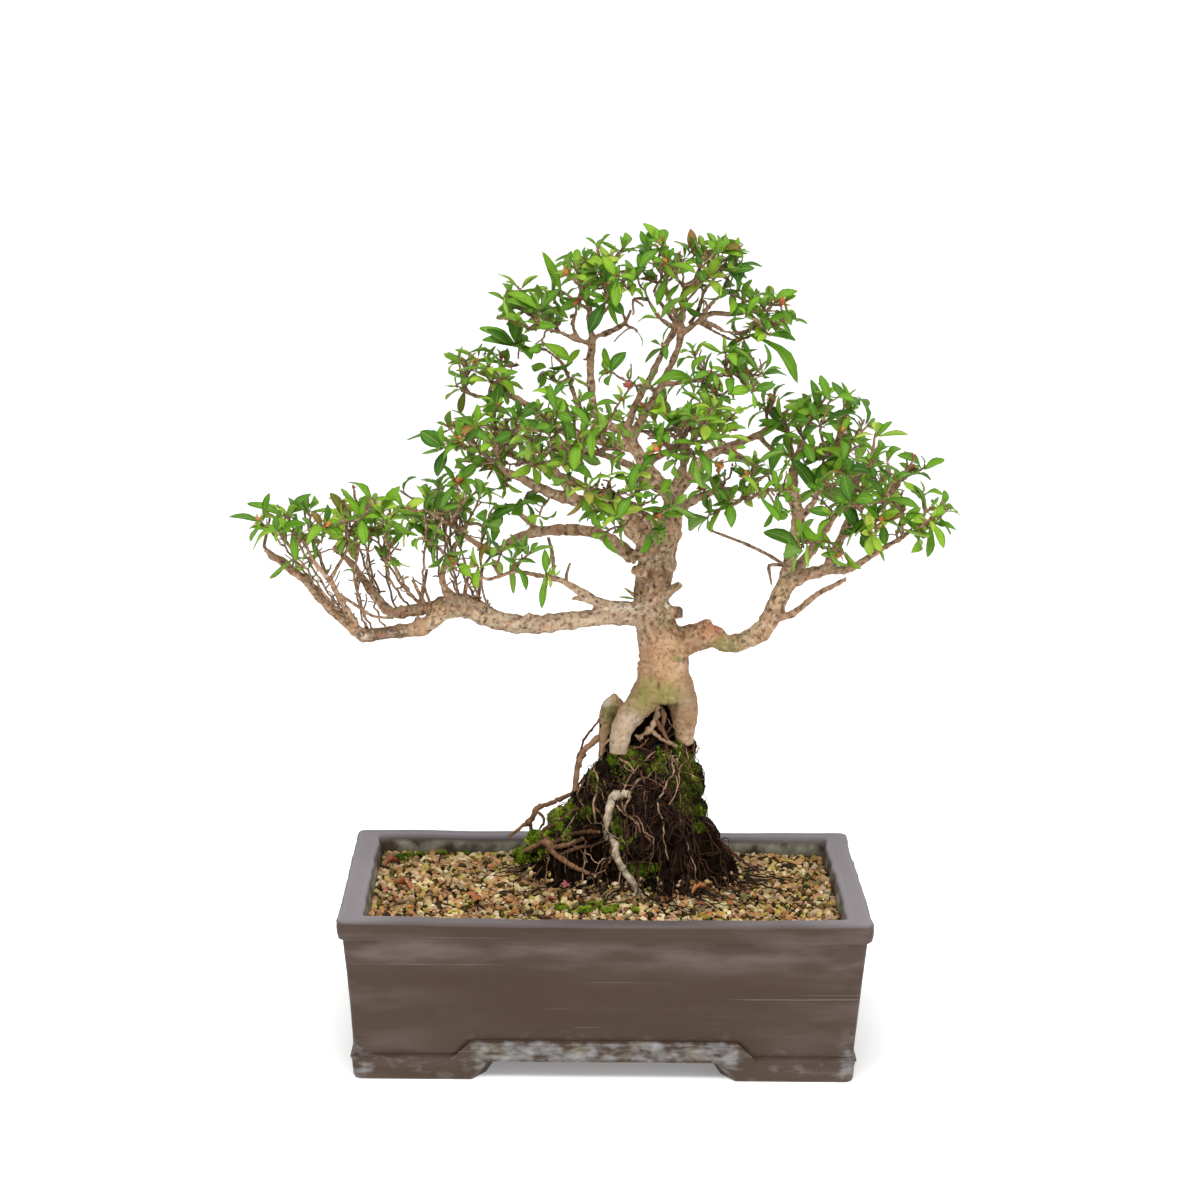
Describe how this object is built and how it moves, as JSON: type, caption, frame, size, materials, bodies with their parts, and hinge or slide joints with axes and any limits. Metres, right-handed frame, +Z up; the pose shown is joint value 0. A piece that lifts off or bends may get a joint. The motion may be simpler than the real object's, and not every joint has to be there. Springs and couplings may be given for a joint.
{
  "type": "potted bonsai tree",
  "caption": "Azalea bonsai on bared roots, with a forked trunk, level limbs and small leaf pads, in a low rectangular clay pot on cut-out feet.",
  "frame": {"origin": "on the ground under the middle of the pot", "axes": "+Z up along the tree, +X along the pot's long side to the right as seen from the show side, -Y towards the show side"},
  "size_m": [0.388, 0.193, 0.4431],
  "materials": {
    "pot_clay": "unglazed, satin, brushed, with lime bloom",
    "screen_plastic": "moulded mesh",
    "clip_wire": "drawn wire",
    "clay_grains": "loose fired-clay grains, matte",
    "root_soil": "matted fine roots and old soil",
    "moss": "short living moss",
    "root_bark": "smooth weathered root bark",
    "trunk_bark": "smooth pitted bark with algae",
    "limb_bark": "thin knobby bark",
    "leaf": "semi-gloss living leaf",
    "dead_leaf": "dry curled leaf"
  },
  "bodies": {
    "root": {"drain_screen_left": "screen_plastic", "drain_screen_right": "screen_plastic", "fallen_leaf_corner": "dead_leaf", "fallen_leaf_front": "dead_leaf", "fallen_leaf_left": "dead_leaf", "fallen_leaf_right": "dead_leaf", "foliage_apex_left": "leaf", "foliage_apex_right": "leaf", "foliage_back_left": "leaf", "foliage_back_middle": "leaf", "foliage_centre": "leaf", "foliage_left_back": "leaf", "foliage_left_crown": "leaf", "foliage_left_inner": "leaf", "foliage_left_ledge": "leaf", "foliage_left_low": "leaf", "foliage_left_low_back": "leaf", "foliage_left_mid": "leaf", "foliage_left_stub": "leaf", "foliage_left_tip": "leaf", "foliage_middle_left": "leaf", "foliage_middle_right": "leaf", "foliage_right_back": "leaf", "foliage_right_centre": "leaf", "foliage_right_crown": "leaf", "foliage_right_shoulder": "leaf", "foliage_right_tip": "leaf", "foliage_right_upper": "leaf", "leader_left": "limb_bark", "leader_right": "limb_bark", "limb_back_left": "limb_bark", "limb_back_middle": "limb_bark", "limb_centre_front": "limb_bark", "limb_centre_right": "limb_bark", "limb_left_back": "limb_bark", "limb_left_low": "limb_bark", "limb_left_mid": "limb_bark", "limb_left_stub": "limb_bark", "limb_left_upper": "limb_bark", "limb_middle_front": "limb_bark", "limb_right_low": "limb_bark", "limb_right_mid": "limb_bark", "moss_front": "moss", "moss_left": "moss", "moss_right": "moss", "moss_soil_corner": "moss", "moss_soil_front": "moss", "pot": "pot_clay", "root_arch_left": "root_bark", "root_crotch": "root_bark", "root_front_left": "root_bark", "root_knuckle_left": "root_bark", "root_mass": "root_soil", "root_pale_lower": "root_bark", "root_pale_upper": "root_bark", "root_right": "root_bark", "screen_clip_left": "clip_wire", "screen_clip_right": "clip_wire", "soil": "clay_grains", "trunk": "trunk_bark"}
  },
  "joints": []
}
